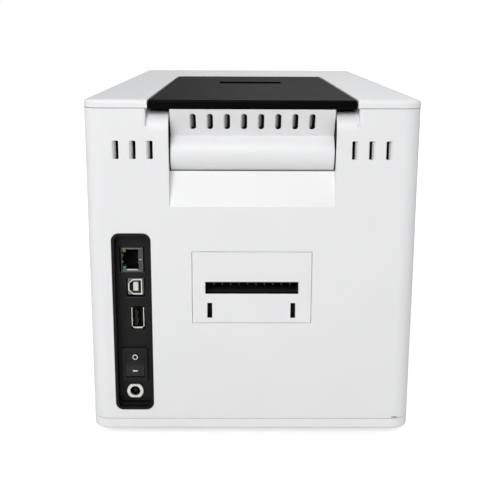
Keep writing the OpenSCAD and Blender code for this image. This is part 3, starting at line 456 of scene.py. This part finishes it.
NODE_LOOKS = {
    "white": ["body_shell", "top_cover", "front_fascia", "slot_plate", "lid_skirt", "cassette_frame"],
    "warm": ["base_tray"],
    "lid": ["lid_plate"],
    "recess": ["io_panel"],
    "black": ["hopper_door", "menu_button", "feed_button"],
    "gloss": ["switch_bezel", "power_rocker"],
    "dark": ["slot_guide", "card_guides", "diverter_flap", "lid_frame", "card_hopper", "output_bin"],
    "network": ["rj45_jack"],
    "square": ["usb_b_socket"],
    "upright": ["usb_a_socket"],
    "supply_in": ["dc_jack"],
    "steel": ["left_side_plate", "right_side_plate", "cross_rails", "hinge_pins", "case_screws",
              "card_weight", "front_pinch_roller", "rear_pinch_roller", "exit_pinch_roller"],
    "alu": ["head_carrier"],
    "rubber": ["rubber_feet"],
    "board": ["main_board"],
    "bronze": ["shaft_bushes", "motor_pinion"],
    "acetal": ["pick_gear", "front_feed_gear", "platen_gear", "rear_feed_gear", "exit_gear",
               "idler_gear_1", "idler_gear_2", "idler_gear_3", "idler_gear_4"],
    "ceramic": ["print_head"],
    "film": ["ribbon_film"],
    "motor": ["drive_motor"],
    "glass": ["display_window"],
    "feed": ["front_feed_roller", "rear_feed_roller", "exit_roller"],
    "pick": ["pick_roller"],
    "platen": ["platen_roller"],
    "supply": ["supply_spool"],
    "take_up": ["take_up_spool"],
}


def dress_nodes():
    for look, names in NODE_LOOKS.items():
        for name in names:
            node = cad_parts[name]
            if not node.material_slots:
                node.data.materials.append(LOOKS[look])
            for part in node.material_slots:
                part.material = LOOKS[look]


# ---- pieces that Blender adds, sizes in millimetres ----


def mesh_piece(name, bm, look, body, bevel=0.0, smooth=False):
    mesh = bpy.data.meshes.new(name)
    bmesh.ops.recalc_face_normals(bm, faces=bm.faces)
    bm.to_mesh(mesh)
    bm.free()
    piece = bpy.data.objects.new(name, mesh)
    bpy.context.scene.collection.objects.link(piece)
    mesh.materials.append(LOOKS[look])
    if smooth:
        mesh.shade_smooth()
    if bevel:
        mod = piece.modifiers.new("edges", "BEVEL")
        mod.width = bevel * MM
        mod.segments = 2
        mod.limit_method = "ANGLE"
    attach(piece, body)


def add_box(bm, lo, hi):
    lo, hi = Vector(lo) * MM, Vector(hi) * MM
    made = bmesh.ops.create_cube(bm, size=1.0)
    bmesh.ops.scale(bm, vec=hi - lo, verts=made["verts"])
    bmesh.ops.translate(bm, vec=(hi + lo) / 2, verts=made["verts"])


def box_piece(name, boxes, look, body, bevel=0.0):
    """A piece of boxes, each given by its low and its high corner."""
    bm = bmesh.new()
    for lo, hi in boxes:
        add_box(bm, lo, hi)
    mesh_piece(name, bm, look, body, bevel)


def add_loft(bm, rings, closed=False):
    """Skin over rings of points. Closed joins the last ring to the first, else both ends get a cap."""
    rows = [[bm.verts.new(Vector(c) * MM) for c in ring] for ring in rings]
    for a, b in zip(rows, rows[1:] + (rows[:1] if closed else [])):
        for i in range(len(a)):
            j = (i + 1) % len(a)
            bm.faces.new((a[i], a[j], b[j], b[i]))
    if not closed:
        bm.faces.new(rows[0])
        bm.faces.new(rows[-1][::-1])


def add_prism(bm, outline, x0, x1):
    """Prism of a (Y, Z) outline between two X planes."""
    add_loft(bm, [[(x, y, z) for y, z in outline] for x in (x0, x1)])


def arc(y, z, radius, start, end, steps):
    """Points of an arc in the (Y, Z) plane, in degrees from +Y."""
    turns = [math.radians(start + (end - start) * i / steps) for i in range(steps + 1)]
    return [(y + radius * math.cos(a), z + radius * math.sin(a)) for a in turns]


def around(steps):
    """Angles of even steps round a full turn."""
    return [2 * math.pi * k / steps for k in range(steps)]


def add_ring(bm, centre, radius, width, depth, turn):
    """Flat ring of a rectangular section; turn maps its own axis +Z into place."""
    section = [(radius - width, 0), (radius, 0), (radius, depth), (radius - width, depth)]
    add_loft(bm, [[centre + turn @ Vector((r * math.cos(a), r * math.sin(a), z)) for r, z in section]
                  for a in around(40)], closed=True)


def add_coil(bm, x, y, z0, z1, radius, wire, turns, steps=14):
    """Upright coil spring of round wire."""
    rings = []
    for i in range(turns * steps + 1):
        a = 2 * math.pi * i / steps
        out = Vector((math.cos(a), math.sin(a), 0))
        middle = Vector((x, y, z0 + (z1 - z0) * i / (turns * steps))) + out * radius
        rings.append([middle + (out * math.cos(b) + Vector((0, 0, math.sin(b)))) * wire for b in around(5)])
    add_loft(bm, rings)


def add_disc(bm, x, y, z, radius, height):
    """Screw head, a little narrower at one end."""
    made = bmesh.ops.create_cone(bm, cap_ends=True, segments=20, radius1=radius * MM,
                                 radius2=radius * MM * 0.86, depth=height * MM)
    bmesh.ops.translate(bm, vec=Vector((x, y, z)) * MM, verts=made["verts"])


def make_network_parts():
    front = NETWORK_FRONT
    x0, x1, z0, z1 = 72.3, 82.8, 110.7, 124.7
    wall = 0.3
    back, edge = front - 12.8, front - 0.7
    # black inside: contact side, latch side, top, back and bottom
    box_piece("network_socket_lining", [
        ((x0, back, z0), (x0 + wall, edge, z1)),
        ((x1 - wall, back, z0), (x1, edge, z1)),
        ((x0 + wall, back, z1 - wall), (x1 - wall, edge, z1)),
        ((x0 + wall, back, z0), (x1 - wall, back + wall, z1 - wall)),
        ((x0 + wall, back + wall, z0), (x1 - wall, front - 2.6, z0 + wall)),
    ], "socket_black", "chassis")
    contacts = [(z0 + z1) / 2 + (k - 3.5) * 1.02 for k in range(8)]
    box_piece("network_contacts", [
        ((x0 + wall, back + 1.5, z - 0.18), (x0 + wall + 0.5, front - 4, z + 0.18)) for z in contacts
    ], "gold", "chassis")
    # two lamps in the corners beside the latch channel
    for name, look, low, high in (("link_lamp", "lamp_a", 122.6, 124.9),
                                  ("activity_lamp", "lamp_b", 110.7, 113.2)):
        box_piece(name, [((80.5, front - 6, low), (82.6, front - 0.3, high))],
                  look, "chassis", bevel=0.2)
    # spring fingers of the shield: two in the latch channel, and one tab beside the contacts
    fingers = [((82.3, front - 2.4, z - 0.45), (82.75, front - 0.35, z + 0.45)) for z in (116.2, 120.4)]
    fingers.append(((70.6, front - 0.05, 117.5), (72.0, front + 0.12, 118.1)))
    box_piece("network_shield_fingers", fingers, "plated", "chassis", bevel=0.1)
    box_piece("network_socket_tray", [((72.8, front - 2.5, 110.75), (80.0, front - 0.3, 111.3))],
              "bright", "chassis", bevel=0.1)
    face = front + 0.04
    box_piece("network_socket_side", [((69.9, front - 0.5, 110.5), (72.25, face, 125.0))],
              "side_grey", "chassis")
    box_piece("network_socket_edge", [((82.82, front - 0.5, 110.2), (83.55, face, 125.3))],
              "chip", "chassis")


def make_usb_parts():
    front = SQUARE_FRONT
    box_piece("usb_b_tongue", [((73.1, front - 9, 96.9), (76.3, front - 0.6, 102.6))],
              "ivory", "chassis", bevel=0.2)
    box_piece("usb_b_contacts", [
        ((x, front - 8, z - 0.4), (x + 0.14, front - 1.4, z + 0.4))
        for x in (73.0, 76.35) for z in (98.6, 100.9)
    ], "gold", "chassis")
    front = UPRIGHT_FRONT
    box_piece("usb_a_tongue", [((73.9, front - 11, 73.5), (75.7, front - 0.8, 84.1))],
              "tongue_black", "chassis", bevel=0.2)
    # dark rim of the upright socket: upper end, both long sides and the cut lower corners
    bm = bmesh.new()
    add_box(bm, (70.8, front - 1.2, 85.2), (76.7, front + 0.05, 85.85))
    for x0, x1 in ((70.25, 70.84), (76.66, 77.3)):
        add_box(bm, (x0, front + 0.01, 73.0), (x1, front + 0.1, 85.9))
    for x, side in ((69.65, 1), (77.85, -1)):
        add_loft(bm, [[(x, y, 71.7), (x + side * 1.7, y, 71.7), (x, y, 73.4)]
                      for y in (front - 1, front + 0.08)])
    mesh_piece("usb_a_end", bm, "socket_black", "chassis")
    # painted highlight: grey strips along the lower edges of the two upper windows, where light catches
    # these edges
    box_piece("window_edge_highlights", [
        ((68.4, RECESS_Y, 109.35), (84.9, RECESS_Y + 0.1, 109.65)),
        ((68.5, RECESS_Y, 92.45), (80.9, RECESS_Y + 0.1, 92.75)),
    ], "side_grey", "chassis")
    contacts = [75.4 + 2.27 * k for k in range(4)]
    box_piece("usb_a_contacts", [
        ((73.76, front - 9, z - 0.5), (73.9, front - 2.2, z + 0.5)) for z in contacts
    ], "gold", "chassis")


def make_switch_marks():
    # ring above, bar below, each on its own half of the rocker
    tilt = Matrix.Rotation(math.radians(ROCKER_TILT), 3, "X")
    upper, lower = [tilt @ Matrix.Rotation(math.radians(-90 - side * ROCKER_FLARE), 3, "X")
                    for side in (1, -1)]
    bm = bmesh.new()
    add_ring(bm, ROCKER_PIVOT + tilt @ Vector((0, ROCKER_FACE, MARK_RISE)), 1.75, 0.5, MARK_DEPTH, upper)
    mesh_piece("rocker_off_ring", bm, "mark", "rocker")
    bm = bmesh.new()
    add_box(bm, (-1.55, -0.36, 0), (1.55, 0.36, MARK_DEPTH))
    place = (ROCKER_PIVOT + tilt @ Vector((0, ROCKER_FACE, -MARK_RISE))) * MM
    bmesh.ops.transform(bm, matrix=Matrix.Translation(place) @ lower.to_4x4(), verts=bm.verts)
    mesh_piece("rocker_on_bar", bm, "mark", "rocker")


def make_shadow_parts():
    # painted shade: black sheets behind the air slots of the casing, so the slots read dark
    box_piece("air_slot_shade_sheet", [
        ((x0, 197.62, 180.5), (x1, 197.84, 197.5)) for x0, x1 in ((-89.5, -57.5), (57.5, 89.5))
    ], "socket_black", "chassis")
    # painted shade: black liners on the cheeks beside the hinge skirt and in the cradle under the barrel, so
    # these gaps read dark
    bm = bmesh.new()
    cheek = arc(HINGE_Y, HINGE_Z, BARREL_R + 0.4, 19, -180, 28)
    cheek += arc(192, 200.5, 11.7, 90, 0, 8)
    cheek.append((REAR_Y - 0.3, 190.2))
    for x0, x1 in ((-51.42, -51.22), (51.22, 51.42)):
        add_prism(bm, cheek, x0, x1)
    cradle = arc(HINGE_Y, HINGE_Z, BARREL_R + 0.72, -56.5, -100, 12)
    cradle += arc(HINGE_Y, HINGE_Z, BARREL_R + 0.62, -100, -56.5, 12)
    add_prism(bm, cradle, -51, 51)
    mesh_piece("hinge_gap_shade_liner", bm, "socket_black", "chassis")
    # painted shade: a black sheet behind the skirt's air slots
    bm = bmesh.new()
    add_prism(bm, [(192.05, 198.4), (199.2, 211.6), (198.95, 211.72), (191.8, 198.52)], -48, 48)
    mesh_piece("skirt_slot_shade_sheet", bm, "socket_black", "lid")
    # painted shade: black strips over the circuit board's edge, behind the socket windows, so the gaps round
    # the sockets read dark
    box_piece("board_edge_shade_strip", [
        ((67.9, 194.16, z0), (69.64, 194.4, z1)) for z0, z1 in ((92.5, 126.2), (71.0, 86.8))
    ], "socket_black", "chassis")


def make_air_slot_shade():
    # painted shade: black liners on the inner end of the casing's air slot ramps, and on their lower ends
    outline = [(0.09, 200.2), (-0.12, 199.5), (-0.12, 197.9), (-0.24, 197.9), (-0.24, 199.5), (-0.03, 200.2)]
    bm = bmesh.new()
    for side in (-1, 1):
        for middle in AIR_SLOT_X:
            add_loft(bm, [[(side * (middle + x), y, z) for x, y in outline] for z in (183.5, 194.6)])
            x0, x1 = sorted((side * (middle - 1.95), side * (middle - 0.1)))
            add_box(bm, (x0, 197.9, 183.42), (x1, REAR_Y - 0.5, 183.5))
    mesh_piece("air_slot_shade_liner", bm, "socket_black", "chassis")


def skirt_point(middle, across, along, depth):
    """Place in the hinge skirt from a slot's middle: across, up along the panel and into it."""
    turn = math.radians(CREASE_ANGLE)
    crease_y = HINGE_Y + BARREL_R * math.cos(turn)
    crease_z = HINGE_Z + BARREL_R * math.sin(turn)
    panel = math.atan2(LID_Z - crease_z, REAR_Y - crease_y)
    up = SKIRT_SLOT_UP + along
    return (middle + across, crease_y + up * math.cos(panel) - depth * math.sin(panel),
            crease_z + up * math.sin(panel) + depth * math.cos(panel))


def slot_end(middle):
    """Rings of the black liner of painted shade round a skirt slot's lower end, deep on one side and shallow
    on the ramp's.
    """
    top, shallow, full = 0.35, 0.7, 3.0
    outer = SKIRT_SLOT_R - 0.02
    inner = outer - 0.1
    for i in range(15):
        turn = math.radians(180 + 10 * i)
        deep = min(full, max(shallow, full - full * math.cos(turn)))
        yield [skirt_point(middle, r * math.cos(turn), r * math.sin(turn) - SKIRT_SLOT_HALF, d)
               for r, d in ((outer, top), (outer, deep), (inner, deep), (inner, top))]


def slot_ramp(middle):
    """Rings of the sloping grey strip of painted shade across a skirt slot's ramp, as long as the slot's
    round ends let it be.
    """
    near, far = 0.02, 0.12  # distances of the strip's two faces from the slot's own ramp
    for i in range(8):
        t = 0.36 + 0.088 * i
        x, depth = 1.95 - 2.05 * t, 0.2 + 3.2 * t
        reach = SKIRT_SLOT_HALF - 0.02 + math.sqrt(SKIRT_SLOT_R ** 2 - x ** 2)
        yield [skirt_point(middle, x - 0.842 * off, along, depth - 0.539 * off)
               for along, off in ((-reach, near), (reach, near), (reach, far), (-reach, far))]


def make_slot_shade_and_highlight():
    make_air_slot_shade()
    ends, ramps = bmesh.new(), bmesh.new()
    for middle in SKIRT_SLOT_X:
        add_loft(ends, list(slot_end(middle)))
        add_loft(ramps, list(slot_ramp(middle)))
    mesh_piece("skirt_slot_end_shade", ends, "socket_black", "lid")
    mesh_piece("skirt_slot_ramp_shade", ramps, "slot_grey", "lid")
    # painted shade: black strips on the lower lips of the card slot and of the two small slots, and a black
    # backing behind these
    lip_back, lip_front = 199.9, REAR_Y - 0.08
    half = CARD_SLOT_WIDTH / 2 - 0.05
    lips = [((-half, lip_back, CARD_SLOT_BOTTOM + 0.02), (half, lip_front, CARD_SLOT_BOTTOM + 0.12))]
    for x in SMALL_SLOT_X:
        lips += [((x - 1.53, lip_back, 81.42), (x + 1.53, lip_front, 81.52)),
                 ((x - 2.3, 199.6, 80.6), (x + 2.3, 199.84, 91.2))]
    box_piece("slot_lip_shade", lips, "socket_black", "chassis")
    # short comb under the roof of the card slot, in line with the guide's ribs, coloured light grey as a
    # painted highlight so its fins read as lit edges in the dark slot
    fin = [(199.8, 105.15), (199.8, 102.2), (198.6, 101.95), (197.5, 101.95), (197.5, 105.15)]
    bm = bmesh.new()
    for k in range(CARD_SLOT_RIBS):
        x = (k - (CARD_SLOT_RIBS - 1) / 2) * CARD_SLOT_WIDTH / (CARD_SLOT_RIBS + 1)
        add_prism(bm, fin, x - 0.22, x + 0.22)
    mesh_piece("card_slot_comb", bm, "rib_edge", "chassis")


def make_lid_parts():
    top = HEAD_TOP
    # springs that press the print head down
    bm = bmesh.new()
    for x in (-14, 14):
        add_coil(bm, x, 6.5, 150.6, top - 2.2, 3.2, 0.45, 11)
    mesh_piece("head_springs", bm, "steel", "lid", smooth=True)
    # flat cable from the head to the hinge, held by two clips
    box_piece("head_cable", [((-9, 19, top - 0.5), (9, 158, top - 0.15))], "cable", "lid")
    box_piece("cable_clips", [((-12, y, top - 1.3), (12, y + 5, top - 0.1)) for y in (56, 118)],
              "dark", "lid", bevel=0.3)
    # screws that hold the inner frame to the plate
    bm = bmesh.new()
    for x in (-54.5, 54.5):
        for y in (-64, 33, 132):
            add_disc(bm, x, y, top - 0.5, 2.3, 1.0)
    mesh_piece("lid_frame_screws", bm, "steel", "lid")
    # two catches at the operator's end, each an arm and its hook
    catches = []
    for x in (-40, 40):
        catches += [((x - 5, -69.5, top - 7), (x + 5, -67.5, top)),
                    ((x - 5, -72, top - 7), (x + 5, -67.5, top - 5))]
    box_piece("lid_catches", catches, "dark", "lid", bevel=0.4)


def make_bay_parts():
    # card sensors on the floor of the card path
    sensors = (66, 148)
    box_piece("card_sensors", [((38.5, y, 100.6), (46, y + 9, 105.5)) for y in sensors],
              "chip", "chassis", bevel=0.3)
    box_piece("sensor_lenses", [((38.2, y + 3, 102.2), (38.6, y + 6, 104.2)) for y in sensors],
              "lens", "chassis")


def make_board_parts():
    x = BOARD_X
    # two large chips and six small ones
    chips = [((x, 111.8, 91.8), (x + 1.6, 132.2, 112.2)), ((x, 83.8, 95.8), (x + 1.4, 94.2, 110.2))]
    chips += [((x, y, z), (x + 1.5, y + 7, z + 5))
              for y, z in ((140, 118), (152, 118), (100, 122), (70, 118), (120, 78), (136, 76))]
    box_piece("board_chips", chips, "chip", "chassis", bevel=0.2)
    box_piece("board_headers", [((x, y - 0.2, 63.8), (x + 6.2, y + 16.2, 70.2)) for y in (66, 90, 114)],
              "ivory", "chassis", bevel=0.3)


make_camera()
make_world()
make_lights()
make_floor()
make_materials()
dress_nodes()
make_network_parts()
make_usb_parts()
make_switch_marks()
make_shadow_parts()
make_slot_shade_and_highlight()
make_lid_parts()
make_bay_parts()
make_board_parts()
bpy.context.scene.view_settings.view_transform = "Standard"
